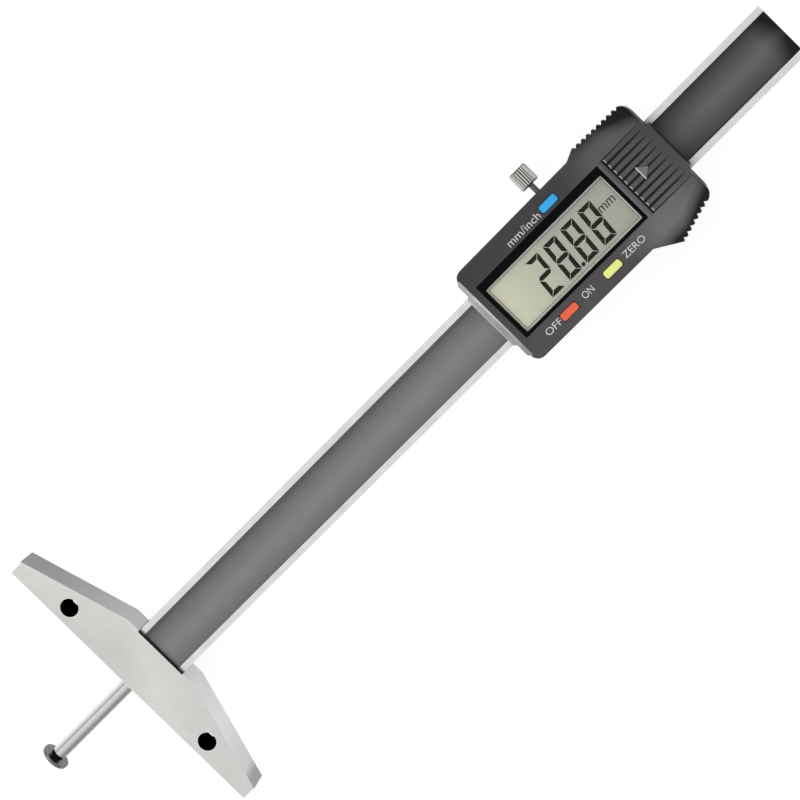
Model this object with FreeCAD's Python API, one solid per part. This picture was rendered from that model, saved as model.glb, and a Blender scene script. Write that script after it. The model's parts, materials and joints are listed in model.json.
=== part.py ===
"""Digital depth gauge: a flat beam with a bridge base, and a display slider that carries a round depth rod.

The part's frame, in millimetres: +X runs from the measuring face up the beam to its free end, +Y is the side
of the lock screw and +Z is the front. The origin is on the measuring face, on the beam's centre line, at the
beam's back face.
"""

import FreeCAD, Part
import math
import os

Vector = FreeCAD.Vector
X_AXIS = Vector(1, 0, 0)
Y_AXIS = Vector(0, 1, 0)
Z_AXIS = Vector(0, 0, 1)

# ---------------------------------------------------------------- driving dimensions
# beam and its scale
beam_width = 16.0
beam_thick = 3.5
beam_spare = 5.25           # beam left above the slider when the rod is drawn in flush
scale_width = 12.6          # recess for the scale in the beam's front
scale_depth = 0.65
strip_thick = 0.45
film_thick = 0.15
scale_side_gap = 0.05

# base
base_length = 86.3          # along Y
base_height = 13.7          # along X, at the middle
base_end_height = 4.2       # along X, at the tips
base_flat = 24.2            # width of the level top
base_thick = 10.0           # along Z
base_step = 1.2             # its front face stands this far above the beam's
base_edge = 0.35            # chamfer round the front and back faces
base_floor = 3.7            # metal left below the beam's pocket
pocket_gap = 0.1            # each side of the beam in its pocket
hole_d = 5.1                # extension bar holes
hole_spacing = 50.8
hole_x = 4.65
base_screw_d = 2.5
base_screw_head_d = 4.4
base_screw_head = 1.3
base_screw_x = 8.7
base_screw_y = 5.2

# depth rod
rod_d = 4.0
rod_axis_z = -0.3           # from the beam's back face
rod_out = 32.5              # from the measuring face to the disc's outer face, as drawn
rod_hold = 22.0             # length held inside the slider
disc_d = 8.0
disc_thick = 1.0
neck_d = 2.2
neck_length = 1.2
stud_d = 1.6
stud_length = 4.2
disc_seat_gap = 0.1         # behind the disc when it is drawn in flush
disc_side_gap = 0.2
rod_bore_gap = 0.05         # radial, rod in the base
rod_groove_gap = 0.1        # rod to the groove in the beam
rod_seat_gap = 0.03         # radial, rod in the slider's seat
rod_screw_d = 1.6
rod_screw_head_d = 2.8
rod_screw_head = 0.9
rod_screw_inset = 5.0       # first screw from the slider's lower end
rod_screw_pitch = 10.0

# slider frame
slider_low = 140.5          # X of the slider's lower end
side_left = 3.75            # button centre to the housing's side, on the lock screw's side
side_right = 3.5
frame_inset = 0.7           # frame inside the cover's outline
frame_corner = 2.0          # lower corners
frame_edge = 0.5
lip_thick = 0.4             # over the beam's margins
lip_width = 1.4
run_gap = 0.05              # slider on beam, each face
gib_thick = 1.0
gib_gap = 0.1               # gib to beam
gib_back_gap = 0.05         # gib to frame
gib_end_inset = 1.2
gib_screw_d = 1.6
gib_screw_length = 3.2
gib_screw_from_low = 13.1
gib_screw_pitch = 23.0
nose_length = 1.5           # the frame's upstand across the lower end, sloped at 45 degrees
nose_middle = 1.0           # its middle stands this much further out, over the beam
nose_middle_half_width = 8.5
nose_half_width = 12.6
nose_corner = 0.7
nose_gap = 0.05             # nose to cover

# lock screw
lock_from_low = 29.2        # along X from the slider's lower end
lock_head_d = 5.3
lock_head_length = 5.1
lock_head_gap = 2.35        # bare stem between the cover and the head
lock_stem_d = 1.6
lock_tip_gap = 0.1
lock_teeth = 22
lock_tooth_depth = 0.22

# electronics
board_thick = 0.8
board_gap = 0.3             # board to the cover's walls
board_step = 1.0            # the board narrows this far before the cell
contact_thick = 0.15
contact_inset = 1.2         # short of the cell's edge and top
contact_foot = 0.6
negative_width = 3.0
positive_width = 4.0
positive_gap = 0.05
cell_d = 11.6
cell_height = 5.4
cell_edge = 0.4
cell_end_gap = 0.4          # cell to the cover's end wall
cell_side_gap = 0.4
ledge_gap = 0.1             # the cell's side walls above the board
chip_d = 9.0
chip_height = 1.3
chip_from_low = 22.0
crystal_d = 2.0
crystal_length = 6.0
crystal_from_low = 36.0
zebra_width = 1.6
zebra_inset = 0.7
switch_length = 3.2
switch_width = 2.6
switch_height = 1.6
plunger_d = 1.3
plunger_height = 0.55

# cover
cover_wall = 1.3
cover_low_wall = 1.8        # wall at the lower end
cover_skin = 1.4            # front wall
lid_skin = 0.95             # front wall over the lid's rails
cover_edge = 0.5            # chamfer round the front face
cover_corner = 2.5          # radius of the lower corners
ear_length = 0.7            # the lower corners reach this far down beside the nose
skirt_drop = 8.0            # shoulders reach this far below the frame's front
skirt_gap = 0.1
boss_d = 3.8
boss_hole_gap = 0.03
case_screw_d = 2.0
case_screw_head_d = 3.6
case_screw_head = 1.4
case_screw_length = 12.2
case_screw_low = 6.1        # along X from the slider's lower end
case_screw_high = 9.5       # along X from the slider's upper end
case_screw_side = 3.0       # inside the cover's side face

# shoulders: where the finger grips start and end along X, from the slider's upper end
shoulder_start = 19.15
left_shoulder_rise = 1.45
left_shoulder_run = 3.3
left_shoulder_back = 0.9    # the grip stands only this far out at its upper end
right_shoulder_rise = 4.0
right_shoulder_run = 6.6
right_shoulder_back = 0.3
shoulder_round = 2.6        # radius of the upper corners
grip_height = 3.5           # the teeth reach this far back from the front face
grip_back = 0.15            # the wall below the teeth stands this far behind their roots
tooth_pitch = 1.62
tooth_depth = 0.9
tooth_gap = 1.4             # width of each groove at its mouth
left_groove_count = 9
right_groove_count = 7
left_groove_inset = 2.25    # first groove from the grip's upper end
right_groove_inset = 0.6    # first groove from the grip's peak

# display
bezel_length = 41.4
bezel_half_width = 8.65
bezel_gap = 0.05
bezel_recess = 0.1
view_low = 1.0              # border below, above, on the +Y side and on the -Y side of the glass
view_high = 1.0
view_left = 2.15
view_right = 0.85
glass_lap = 0.3             # glass reaches this far under the border
glass_thick = 2.0
pane_thick = 0.9
pane_gap = 0.05
pane_recess = 0.35

# buttons: length along X, width along Y, proud of the face, and travel
button_length = 5.2
button_width = 2.0
button_proud = 0.5
button_travel = 0.5
button_gap = 0.1
button_flange = 0.6         # flange wider than the cap, each side
button_flange_thick = 0.6
button_flange_gap = 0.05    # flange to the inside of the cover
button_stem_d = 2.0
button_left = 1.95          # bezel to button centre, on the lock screw's side
button_right = 2.8
mm_inch_from_low = 30.4
zero_from_low = 30.1
off_on_from_low = 15.4

# battery lid
lid_wall = 0.95             # between the bezel and the lid
lid_margin = 0.35           # the lid starts this far before the cell
lid_half_width = 8.8
lid_gap = 0.1
lid_rail_width = 0.5
lid_rail_thick = 0.6
lid_slide_gap = 0.05
end_tab_half_width = 7.0    # the middle of the upper end, lid and cover alike,
end_tab = 0.9               # stands this far beyond it
rib_count = 10
rib_pitch = 1.8
rib_width = 1.25
rib_depth = 0.4
rib_low_inset = 0.8
rib_high_inset = 1.1
mark_length = 2.7
mark_half_width = 2.2
mark_from_top = 8.55        # triangle's base from the slider's upper end
mark_proud = 0.3

# end stop
stop_length = 3.0
stop_thick = 1.4
stop_half_width = 7.0
stop_inset = 0.3
stop_screw_d = 1.6
stop_screw_head_d = 2.6
stop_screw_head = 0.8
stop_screw_y = 4.6

screw_gap = 0.04            # radial, every fixed screw in its hole
slot_width = 0.5
slot_depth = 0.45
screw_tip_cover = 0.5       # metal left over a blind screw hole
past = 1.0                  # how far a cut runs past the face that it opens

# ---------------------------------------------------------------- derived places
half_beam = beam_width / 2
left_button_y = bezel_half_width + button_left
right_button_y = -bezel_half_width - button_right
slider_left = left_button_y + side_left
slider_right = side_right - right_button_y
rod_r = rod_d / 2
base_front = beam_thick + base_step
back_plane = base_front - base_thick     # the base and the slider lie on one plane
frame_front = beam_thick + run_gap + lip_thick
board_top = frame_front + board_thick
cell_low = board_top + contact_thick
cell_top = cell_low + cell_height
rail_low = cell_top + lid_gap
rail_top = rail_low + lid_rail_thick
cover_top = rail_top + lid_slide_gap + lid_skin
skin_low = cover_top - cover_skin

frame_left = slider_left - frame_inset
frame_right = slider_right - frame_inset
cover_start = slider_low + nose_length
nose_top = cover_top - cover_edge
inner_low = cover_start + cover_low_wall
ear_start = cover_start - ear_length
bezel_x0 = inner_low + bezel_gap
bezel_x1 = bezel_x0 + bezel_length
lid_low = bezel_x1 + lid_wall
inner_high = lid_low + lid_margin + cell_d + cell_end_gap
slider_top = inner_high + cover_wall
beam_end = slider_top + rod_out + beam_spare
frame_high = slider_top - frame_inset
channel_left = half_beam + gib_gap + gib_thick + gib_back_gap
channel_right = half_beam + run_gap
inner_left = slider_left - cover_wall
inner_right = slider_right - cover_wall
cell_x = inner_high - cell_end_gap - cell_d / 2
lock_x = slider_low + lock_from_low
groove_depth = rod_axis_z + rod_r + rod_groove_gap
counterbore_d = disc_d + 2 * disc_side_gap
counterbore_depth = disc_thick + disc_seat_gap
rod_low = -rod_out + disc_thick + neck_length
rod_high = slider_low + rod_hold
beam_low = base_floor

view_x0 = bezel_x0 + view_low
view_x1 = bezel_x1 - view_high
view_y0 = -bezel_half_width + view_right
view_y1 = bezel_half_width - view_left
bezel_top = cover_top - bezel_recess
pane_top = cover_top - pane_recess
pane_low = pane_top - pane_thick
glass_top = pane_low - pane_gap
glass_low = glass_top - glass_thick
glass_x0 = view_x0 - glass_lap
glass_x1 = view_x1 + glass_lap
glass_y0 = view_y0 - glass_lap
glass_y1 = view_y1 + glass_lap

buttons = {
    "mm_inch_button": (slider_low + mm_inch_from_low, left_button_y),
    "zero_button": (slider_low + zero_from_low, right_button_y),
    "off_on_button": (slider_low + off_on_from_low, right_button_y),
}
case_screw_places = [
    (x, y)
    for x in (slider_low + case_screw_low, slider_top - case_screw_high)
    for y in (slider_left - case_screw_side, case_screw_side - slider_right)
]


# ---------------------------------------------------------------- helpers
def block(x0, x1, y0, y1, z0, z1):
    return Part.makeBox(x1 - x0, y1 - y0, z1 - z0, Vector(x0, y0, z0))


def rod_along_x(radius, x0, x1, y, z):
    return Part.makeCylinder(radius, x1 - x0, Vector(x0, y, z), X_AXIS)


def rod_along_y(radius, y0, y1, x, z):
    return Part.makeCylinder(radius, y1 - y0, Vector(x, y0, z), Y_AXIS)


def rod_along_z(radius, z0, z1, x, y):
    return Part.makeCylinder(radius, z1 - z0, Vector(x, y, z0), Z_AXIS)


def prism(points, z0, z1):
    """A straight prism over a closed outline of (x, y) points."""
    corners = [Vector(x, y, z0) for x, y in points]
    wire = Part.makePolygon(corners + corners[:1])
    return Part.Face(wire).extrude(Vector(0, 0, z1 - z0))


def rounded_prism(corners, z0, z1):
    """A straight prism over a closed outline of (x, y, radius) corners; a radius of 0 is a sharp corner."""
    starts = []
    ends = []
    edges = []
    for index, (x, y, radius) in enumerate(corners):
        here = Vector(x, y, z0)
        before = Vector(*corners[index - 1][:2], z0) - here
        after = Vector(*corners[(index + 1) % len(corners)][:2], z0) - here
        before.normalize()
        after.normalize()
        half_angle = before.getAngle(after) / 2
        reach = radius / math.tan(half_angle)
        starts.append(here + before * reach)
        ends.append(here + after * reach)
        if radius > 0:
            inward = (before + after).normalize()
            middle = here + inward * (radius / math.sin(half_angle) - radius)
            edges.append(Part.Arc(starts[-1], middle, ends[-1]).toShape())
    for index, end in enumerate(ends):
        edges.append(Part.LineSegment(end, starts[(index + 1) % len(starts)]).toShape())
    wire = Part.Wire(Part.__sortEdges__(edges))
    return Part.Face(wire).extrude(Vector(0, 0, z1 - z0))


def edges_at(shape, test):
    """Edges whose every end satisfies the test."""
    return [edge for edge in shape.Edges if all(test(v.Point) for v in edge.Vertexes)]


def near(a, b):
    return abs(a - b) < 1e-6


def back_screw(x, y, z_head, head_d, head_height, shank_d, z_tip):
    """A slotted screw driven from the back: its head's flat face looks along -Z."""
    head = rod_along_z(head_d / 2, z_head, z_head + head_height, x, y)
    shank = rod_along_z(shank_d / 2, z_head + head_height, z_tip, x, y)
    half_slot = slot_width / 2
    slot = block(x - head_d, x + head_d, y - half_slot, y + half_slot, z_head - past, z_head + slot_depth)
    return head.fuse(shank).cut(slot).removeSplitter()


def back_screw_hole(x, y, z_face, head_d, z_seat, shank_d, z_tip):
    """The room for such a screw: a counterbore from the face to the seat, then the shank's hole."""
    counterbore = rod_along_z(head_d / 2 + screw_gap, z_face - past, z_seat, x, y)
    return counterbore.fuse(rod_along_z(shank_d / 2 + screw_gap, z_seat - past, z_tip, x, y))


# ---------------------------------------------------------------- base and beam
base_screw_seat = back_plane + base_screw_head + slot_depth
base_screw_tip = beam_thick - scale_depth - screw_tip_cover
base_screw_places = [(base_screw_x, side * base_screw_y) for side in (-1, 1)]
stop_high = beam_end - stop_inset
stop_x = stop_high - stop_length / 2
stop_screw_places = [(stop_x, side * stop_screw_y) for side in (-1, 1)]
stop_screw_tip = beam_thick - scale_depth - screw_tip_cover


def make_base():
    half = base_length / 2
    flat = base_flat / 2
    outline = [
        (0, -half),
        (0, half),
        (base_end_height, half),
        (base_height, flat),
        (base_height, -flat),
        (base_end_height, -half),
    ]
    body = prism(outline, back_plane, base_front)
    rims = edges_at(body, lambda p: near(p.z, back_plane)) + edges_at(body, lambda p: near(p.z, base_front))
    body = body.makeChamfer(base_edge, rims)
    pocket = block(
        base_floor,
        base_height + past,
        -half_beam - pocket_gap,
        half_beam + pocket_gap,
        -run_gap,
        beam_thick + pocket_gap,
    )
    body = body.cut(pocket)
    body = body.cut(rod_along_x(rod_r + rod_bore_gap, -past, base_height + past, 0, rod_axis_z))
    body = body.cut(rod_along_x(counterbore_d / 2, -past, counterbore_depth, 0, rod_axis_z))
    for side in (-1, 1):
        hole_y = side * hole_spacing / 2
        body = body.cut(rod_along_z(hole_d / 2, back_plane - past, base_front + past, hole_x, hole_y))
    for x, y in base_screw_places:
        room = back_screw_hole(x, y, back_plane, base_screw_head_d, base_screw_seat, base_screw_d, 0)
        body = body.cut(room)
    return body


def make_base_screws():
    head_low = base_screw_seat - base_screw_head
    return Part.makeCompound(
        [
            back_screw(x, y, head_low, base_screw_head_d, base_screw_head, base_screw_d, base_screw_tip)
            for x, y in base_screw_places
        ]
    )


def make_beam():
    body = block(beam_low, beam_end, -half_beam, half_beam, 0, beam_thick)
    half_scale = scale_width / 2
    half_groove = rod_r + rod_groove_gap
    before = beam_low - past
    after = beam_end + past
    recess_low = beam_thick - scale_depth
    body = body.cut(block(before, after, -half_scale, half_scale, recess_low, beam_thick + past))
    body = body.cut(block(before, after, -half_groove, half_groove, -past, groove_depth))
    for x, y in base_screw_places:
        body = body.cut(rod_along_z(base_screw_d / 2 + screw_gap, -past, base_screw_tip + screw_gap, x, y))
    for x, y in stop_screw_places:
        body = body.cut(rod_along_z(stop_screw_d / 2 + screw_gap, -past, stop_screw_tip + screw_gap, x, y))
    return body


def make_scale_strip():
    half = scale_width / 2 - scale_side_gap
    low = beam_thick - scale_depth
    return block(beam_low, beam_end, -half, half, low, low + strip_thick)


def make_scale_film():
    half = scale_width / 2 - scale_side_gap
    low = beam_thick - scale_depth + strip_thick
    return block(beam_low, beam_end, -half, half, low, low + film_thick)


def make_end_stop():
    body = block(stop_high - stop_length, stop_high, -stop_half_width, stop_half_width, -stop_thick, 0)
    for x, y in stop_screw_places:
        body = body.cut(rod_along_z(stop_screw_d / 2 + screw_gap, -stop_thick - past, past, x, y))
    return body


def make_end_stop_screws():
    head_low = -stop_thick - stop_screw_head
    return Part.makeCompound(
        [
            back_screw(x, y, head_low, stop_screw_head_d, stop_screw_head, stop_screw_d, stop_screw_tip)
            for x, y in stop_screw_places
        ]
    )


# ---------------------------------------------------------------- rod
rod_screw_seat = back_plane + rod_screw_head + slot_depth
rod_screw_tip = rod_axis_z + rod_r / 2
rod_screw_places = [(slider_low + rod_screw_inset + step * rod_screw_pitch, 0) for step in (0, 1)]


def make_depth_rod():
    body = rod_along_x(rod_r, rod_low, rod_high, 0, rod_axis_z)
    bore_end = rod_low + stud_length + screw_gap
    body = body.cut(rod_along_x(stud_d / 2 + screw_gap, rod_low - past, bore_end, 0, rod_axis_z))
    for x, y in rod_screw_places:
        bore_top = rod_screw_tip + screw_gap
        body = body.cut(rod_along_z(rod_screw_d / 2 + screw_gap, rod_axis_z - rod_r - past, bore_top, x, y))
    return body


def make_rod_disc():
    disc = rod_along_x(disc_d / 2, -rod_out, -rod_out + disc_thick, 0, rod_axis_z)
    neck = rod_along_x(neck_d / 2, -rod_out + disc_thick, rod_low, 0, rod_axis_z)
    stud = rod_along_x(stud_d / 2, rod_low, rod_low + stud_length, 0, rod_axis_z)
    return disc.fuse(neck).fuse(stud).removeSplitter()


def make_rod_screws():
    head_low = rod_screw_seat - rod_screw_head
    return Part.makeCompound(
        [
            back_screw(x, y, head_low, rod_screw_head_d, rod_screw_head, rod_screw_d, rod_screw_tip)
            for x, y in rod_screw_places
        ]
    )


# ---------------------------------------------------------------- slider frame, gib and lock
mid_z = beam_thick / 2
case_screw_seat = back_plane + case_screw_head + slot_depth
case_screw_tip = case_screw_seat - case_screw_head + case_screw_length
gib_screw_places = [slider_low + gib_screw_from_low + step * gib_screw_pitch for step in (0, 1)]
gib_outer = half_beam + gib_gap + gib_thick


def nose_wedge(x_start, y0, y1):
    """The room above the nose's slope, from a lower end at x_start."""
    rise = cover_start - x_start + past
    corners = [
        Vector(cover_start - rise, y0, nose_top - rise),
        Vector(cover_start, y0, nose_top),
        Vector(cover_start, y0, nose_top + past),
        Vector(cover_start - rise, y0, nose_top + past),
    ]
    wire = Part.makePolygon(corners + corners[:1])
    return Part.Face(wire).extrude(Vector(0, y1 - y0, 0))


def make_nose():
    """The upstand that closes the lower end of the housing, with its middle proud over the beam."""
    back = cover_start - nose_gap
    front = slider_low - nose_middle
    outline = [
        (back, nose_half_width),
        (slider_low + nose_corner, nose_half_width),
        (slider_low, nose_half_width - nose_corner),
        (slider_low, nose_middle_half_width),
        (front, nose_middle_half_width - nose_corner),
        (front, nose_corner - nose_middle_half_width),
        (slider_low, -nose_middle_half_width),
        (slider_low, nose_corner - nose_half_width),
        (slider_low + nose_corner, -nose_half_width),
        (back, -nose_half_width),
    ]
    nose = prism(outline, frame_front, nose_top)
    return nose.cut(nose_wedge(front, -slider_right, slider_left))


def make_slider_frame():
    outline = [
        (frame_high, frame_left),
        (slider_low + frame_corner, frame_left),
        (slider_low, frame_left - frame_corner),
        (slider_low, frame_corner - frame_right),
        (slider_low + frame_corner, -frame_right),
        (frame_high, -frame_right),
    ]
    body = prism(outline, back_plane, frame_front)
    back_rim = edges_at(body, lambda p: near(p.z, back_plane))
    body = body.makeChamfer(frame_edge, back_rim)
    body = body.fuse(make_nose())
    before = slider_low - past
    after = frame_high + past
    body = body.cut(block(before, after, -channel_right, channel_left, -run_gap, beam_thick + run_gap))
    window = half_beam - lip_width
    body = body.cut(block(before, after, -window, window, beam_thick, frame_front))
    body = body.cut(rod_along_x(rod_r + rod_seat_gap, before, rod_high + rod_seat_gap, 0, rod_axis_z))
    for x, y in rod_screw_places:
        body = body.cut(back_screw_hole(x, y, back_plane, rod_screw_head_d, rod_screw_seat, rod_screw_d, 0))
    for x, y in case_screw_places:
        room = back_screw_hole(
            x, y, back_plane, case_screw_head_d, case_screw_seat, case_screw_d, frame_front + past
        )
        body = body.cut(room)
    wall_low = channel_left - past
    wall_high = frame_left + past
    for x in gib_screw_places:
        body = body.cut(rod_along_y(gib_screw_d / 2 + screw_gap, wall_low, wall_high, x, mid_z))
    body = body.cut(rod_along_y(lock_stem_d / 2 + screw_gap, wall_low, wall_high, lock_x, mid_z))
    return body


def make_gib_strip():
    return block(
        slider_low + gib_end_inset,
        frame_high - gib_end_inset,
        half_beam + gib_gap,
        gib_outer,
        0,
        beam_thick,
    )


def make_gib_screws():
    screws = []
    half_slot = slot_width / 2
    for x in gib_screw_places:
        end = gib_outer + gib_screw_length
        body = rod_along_y(gib_screw_d / 2, gib_outer, end, x, mid_z)
        z0 = mid_z - half_slot
        z1 = mid_z + half_slot
        screws.append(body.cut(block(x - gib_screw_d, x + gib_screw_d, end - slot_depth, end + past, z0, z1)))
    return Part.makeCompound(screws)


def make_lock_screw():
    stem_start = gib_outer + lock_tip_gap
    head_start = slider_left + lock_head_gap
    stem = rod_along_y(lock_stem_d / 2, stem_start, head_start, lock_x, mid_z)
    outer = lock_head_d / 2
    inner = outer - lock_tooth_depth
    points = []
    for step in range(2 * lock_teeth):
        angle = math.pi * step / lock_teeth
        radius = outer if step % 2 == 0 else inner
        points.append(Vector(lock_x + radius * math.cos(angle), head_start, mid_z + radius * math.sin(angle)))
    wire = Part.makePolygon(points + points[:1])
    head = Part.Face(wire).extrude(Vector(0, lock_head_length, 0))
    return stem.fuse(head).removeSplitter()


# ---------------------------------------------------------------- cover
shoulder_x = slider_top - shoulder_start


def grip_lines(inset):
    """Both grips' edges seen from the front, each as its two ends, walked with the housing on the left."""
    left_peak = (shoulder_x + left_shoulder_run, slider_left + left_shoulder_rise - inset)
    left_end = (slider_top, slider_left + left_shoulder_back - inset)
    right_peak = (shoulder_x + right_shoulder_run, inset - slider_right - right_shoulder_rise)
    right_end = (slider_top, inset - slider_right - right_shoulder_back)
    return (left_end, left_peak), (right_peak, right_end)


def cover_outline(inset):
    """The cover seen from the front, without the grooves, with its grips set in by the inset."""
    (left_end, left_peak), (right_peak, right_end) = grip_lines(inset)
    return [
        (ear_start, slider_left, cover_corner),
        (shoulder_x, slider_left, 0),
        (*left_peak, 0),
        (*left_end, shoulder_round),
        (*right_end, shoulder_round),
        (*right_peak, 0),
        (shoulder_x, -slider_right, 0),
        (ear_start, -slider_right, cover_corner),
    ]


def grooves_along(line, inset, count):
    """V grooves across one grip's edge, which runs along the line with the housing on its left."""
    (x0, y0), (x1, y1) = line
    length = math.hypot(x1 - x0, y1 - y0)
    along = Vector((x1 - x0) / length, (y1 - y0) / length, 0)
    inward = Vector(-along.y, along.x, 0)
    grooves = []
    for step in range(count):
        middle = Vector(x0, y0, 0) + along * (inset + step * tooth_pitch)
        root = middle + inward * tooth_depth
        lower = middle - along * (tooth_gap / 2)
        upper = middle + along * (tooth_gap / 2)
        outer_lower = lower - inward * past
        outer_upper = upper - inward * past
        points = [(p.x, p.y) for p in (root, lower, outer_lower, outer_upper, upper)]
        grooves.append(prism(points, cover_top - grip_height, cover_top + past))
    return grooves


def make_housing_cover():
    grip_low = cover_top - grip_height
    upper = rounded_prism(cover_outline(0), grip_low, cover_top)
    front_rim = edges_at(upper, lambda p: near(p.z, cover_top))
    upper = upper.makeChamfer(cover_edge, front_rim)
    under_grips = cover_outline(tooth_depth + grip_back)
    body = upper.fuse(rounded_prism(under_grips, frame_front, grip_low))
    nose_side = nose_half_width + nose_gap
    room_low = ear_start - past
    body = body.cut(block(room_low, cover_start, -nose_side, nose_side, frame_front - past, cover_top + past))

    skirt = rounded_prism(under_grips, frame_front - skirt_drop, frame_front)
    skirt = skirt.common(
        block(shoulder_x, slider_top, -2 * slider_right, 2 * slider_left, back_plane, frame_front)
    )
    inside = block(
        shoulder_x - past,
        slider_top + past,
        -frame_right - skirt_gap,
        frame_left + skirt_gap,
        back_plane,
        frame_front,
    )
    body = body.fuse(skirt.cut(inside))

    body = body.cut(block(inner_low, inner_high, -inner_right, inner_left, frame_front - past, skin_low))
    end_block = block(
        inner_high,
        slider_top + end_tab,
        -end_tab_half_width,
        end_tab_half_width,
        frame_front,
        rail_low - lid_slide_gap,
    )
    body = body.fuse(end_block)
    ledge_low = cell_low + ledge_gap
    ledge_top = rail_low - lid_slide_gap
    cell_side = cell_d / 2 + cell_side_gap
    ledge_x0 = cell_x - cell_d / 2
    for y0, y1 in ((cell_side, inner_left), (-inner_right, -cell_side)):
        ledge = block(ledge_x0, inner_high, y0, y1, ledge_low, ledge_top)
        body = body.fuse(ledge)
    for x, y in case_screw_places:
        body = body.fuse(rod_along_z(boss_d / 2, frame_front, skin_low, x, y))
    body = body.removeSplitter()

    body = body.cut(
        block(
            bezel_x0 - bezel_gap,
            bezel_x1 + bezel_gap,
            -bezel_half_width - bezel_gap,
            bezel_half_width + bezel_gap,
            glass_low - past,
            cover_top + past,
        )
    )
    for x, y in buttons.values():
        reach = button_length / 2 + button_gap
        half = button_width / 2 + button_gap
        body = body.cut(block(x - reach, x + reach, y - half, y + half, skin_low - past, cover_top + past))
    lid_half = lid_half_width + lid_gap
    rail_half = lid_half_width + lid_rail_width + lid_gap
    lid_end = slider_top + past
    body = body.cut(block(lid_low - lid_gap, lid_end, -lid_half, lid_half, ledge_top, cover_top + past))
    body = body.cut(
        block(lid_low - lid_gap, lid_end, -rail_half, rail_half, ledge_top, rail_top + lid_slide_gap)
    )
    for x, y in case_screw_places:
        radius = case_screw_d / 2 + boss_hole_gap
        body = body.cut(rod_along_z(radius, frame_front - past, case_screw_tip + screw_gap, x, y))
    left_grip, right_grip = grip_lines(0)
    grooves = grooves_along(left_grip, left_groove_inset, left_groove_count)
    grooves += grooves_along(right_grip, right_groove_inset, right_groove_count)
    for groove in grooves:
        body = body.cut(groove)
    return body


def make_case_screws():
    head_low = case_screw_seat - case_screw_head
    return Part.makeCompound(
        [
            back_screw(x, y, head_low, case_screw_head_d, case_screw_head, case_screw_d, case_screw_tip)
            for x, y in case_screw_places
        ]
    )


# ---------------------------------------------------------------- display
def make_lcd_bezel():
    body = block(bezel_x0, bezel_x1, -bezel_half_width, bezel_half_width, glass_low, bezel_top)
    body = body.cut(block(view_x0, view_x1, view_y0, view_y1, glass_low - past, bezel_top + past))
    gap = pane_gap
    z0 = glass_low - past
    z1 = glass_top + gap
    return body.cut(block(glass_x0 - gap, glass_x1 + gap, glass_y0 - gap, glass_y1 + gap, z0, z1))


def make_lcd_window():
    gap = pane_gap
    return block(view_x0 + gap, view_x1 - gap, view_y0 + gap, view_y1 - gap, pane_low, pane_top)


def make_lcd_glass():
    return block(glass_x0, glass_x1, glass_y0, glass_y1, glass_low, glass_top)


def make_zebra_strips():
    strips = []
    x0 = glass_x0 + zebra_inset
    x1 = glass_x1 - zebra_inset
    for y0 in (glass_y0 + zebra_inset, glass_y1 - zebra_inset - zebra_width):
        strips.append(block(x0, x1, y0, y0 + zebra_width, board_top, glass_low))
    return Part.makeCompound(strips)


# ---------------------------------------------------------------- electronics
def make_circuit_board():
    narrow_x = cell_x - cell_d / 2 - board_step
    body = block(
        inner_low + board_gap,
        narrow_x,
        -inner_right + board_gap,
        inner_left - board_gap,
        frame_front,
        board_top,
    )
    cell_half = cell_d / 2 + board_gap
    tongue = block(narrow_x - past, inner_high - board_gap, -cell_half, cell_half, frame_front, board_top)
    body = body.fuse(tongue)
    for x, y in case_screw_places:
        body = body.cut(rod_along_z(boss_d / 2 + board_gap, frame_front - past, board_top + past, x, y))
    return body.removeSplitter()


def make_chip_blob():
    x = slider_low + chip_from_low
    body = rod_along_z(chip_d / 2, board_top, board_top + chip_height, x, 0)
    crown = edges_at(body, lambda p: near(p.z, board_top + chip_height))
    return body.makeFillet(chip_height / 2, crown)


def make_quartz_crystal():
    x = slider_low + crystal_from_low
    return rod_along_y(crystal_d / 2, -crystal_length / 2, crystal_length / 2, x, board_top + crystal_d / 2)


def make_key_switches():
    switches = []
    for x, y in buttons.values():
        case = block(
            x - switch_length / 2,
            x + switch_length / 2,
            y - switch_width / 2,
            y + switch_width / 2,
            board_top,
            board_top + switch_height,
        )
        plunger = rod_along_z(
            plunger_d / 2, board_top + switch_height, board_top + switch_height + plunger_height, x, y
        )
        switches.append(case.fuse(plunger))
    return Part.makeCompound(switches)


def make_button_cell():
    body = rod_along_z(cell_d / 2, cell_low, cell_top, cell_x, 0)
    rims = [edge for edge in body.Edges if edge.Curve.TypeId == "Part::GeomCircle"]
    return body.makeChamfer(cell_edge, rims)


def make_cell_contact_negative():
    reach = cell_d / 2 - contact_inset
    half = negative_width / 2
    return block(cell_x - reach, cell_x + reach, -half, half, board_top, cell_low)


def make_cell_contact_positive():
    half = positive_width / 2
    x1 = cell_x - cell_d / 2 - positive_gap
    x0 = x1 - contact_thick
    upright = block(x0, x1, -half, half, board_top, cell_top - contact_inset)
    foot = block(x0 - contact_foot, x1, -half, half, board_top, board_top + contact_thick)
    return upright.fuse(foot).removeSplitter()


# ---------------------------------------------------------------- buttons and battery lid
stem_low = board_top + switch_height + plunger_height + button_travel + button_gap


def make_button(x, y):
    half_length = button_length / 2
    half_width = button_width / 2
    flange_top = skin_low - button_flange_gap
    flange_low = flange_top - button_flange_thick
    cap_top = cover_top + button_proud
    cap = block(x - half_length, x + half_length, y - half_width, y + half_width, flange_top, cap_top)
    top_rim = edges_at(cap, lambda p: near(p.z, cap_top))
    cap = cap.makeFillet(button_proud / 2, top_rim)
    flange = block(
        x - half_length - button_flange,
        x + half_length + button_flange,
        y - half_width - button_flange,
        y + half_width + button_flange,
        flange_low,
        flange_top,
    )
    stem = rod_along_z(button_stem_d / 2, stem_low, flange_low, x, y)
    return cap.fuse(flange).fuse(stem).removeSplitter()


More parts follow.
